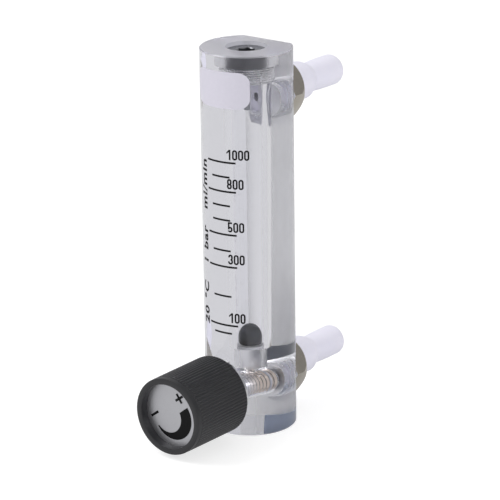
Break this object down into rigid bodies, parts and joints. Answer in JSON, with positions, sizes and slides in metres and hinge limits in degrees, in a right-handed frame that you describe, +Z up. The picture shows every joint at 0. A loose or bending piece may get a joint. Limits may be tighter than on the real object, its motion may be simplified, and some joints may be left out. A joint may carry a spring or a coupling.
{
  "type": "gas flow meter",
  "caption": "Clear acrylic panel flow meter with a tapered bore and float, a needle valve knob in front and hose nozzles behind.",
  "frame": {"origin": "centre of the acrylic bar's foot, on the plane it stands on", "axes": "+Z up along the bar and its tapered bore, +Y towards the hose nozzles at the back, the valve knob at -Y, +X to the right seen from the front"},
  "size_m": [0.0254, 0.0768, 0.108],
  "materials": {
    "clear_acrylic": "polished clear acrylic",
    "white_nylon": "turned satin nylon",
    "nickel_plate": "dull nickel plate",
    "stainless": "turned stainless steel",
    "brass": "turned brass",
    "seal_rubber": "moulded nitrile rubber",
    "seat_polymer": "turned white polymer",
    "black_abs": "moulded satin ABS",
    "satin_disc": "satin anodised aluminium",
    "black_ink": "screen printed ink",
    "label_film": "blank silver-white label film"
  },
  "bodies": {
    "root": {"tube_body": "clear_acrylic", "top_plug": "stainless", "top_plug_seal": "seal_rubber", "float_stop_pin": "stainless", "float_seat": "seat_polymer", "inlet_nozzle": "white_nylon", "inlet_nut": "nickel_plate", "inlet_seal": "seal_rubber", "outlet_nozzle": "white_nylon", "outlet_nut": "nickel_plate", "outlet_seal": "seal_rubber", "valve_cartridge": "brass", "cartridge_seal": "seal_rubber", "valve_lock_ring": "nickel_plate", "scale_marks": "black_ink", "scale_numbers": "black_ink", "blank_label": "label_film"},
    "float": {"float": "stainless"},
    "stem_slide": {"spindle_seal": "seal_rubber"},
    "valve_knob": {"knob": "black_abs", "knob_screw": "stainless", "knob_label": "satin_disc", "knob_marks": "black_ink", "valve_spindle": "stainless"}
  },
  "joints": [
    {"name": "float_slide", "type": "slide", "parent": "root", "child": "float", "axis": [0, 0, 1], "range_m": [0, 0.061]},
    {"name": "valve_travel", "type": "slide", "parent": "root", "child": "stem_slide", "axis": [0, 1, 0], "range_m": [-0.0016, 0.0016]},
    {"name": "valve_turn", "type": "hinge", "parent": "stem_slide", "child": "valve_knob", "pos_m": [0, -0.0265, 0.0125], "axis": [0, 1, 0], "range_deg": [-1080, 1080]}
  ],
  "couplings": [
    {"joint": "valve_travel", "follows": "valve_turn", "m_per_rad": 0.000079577}
  ]
}
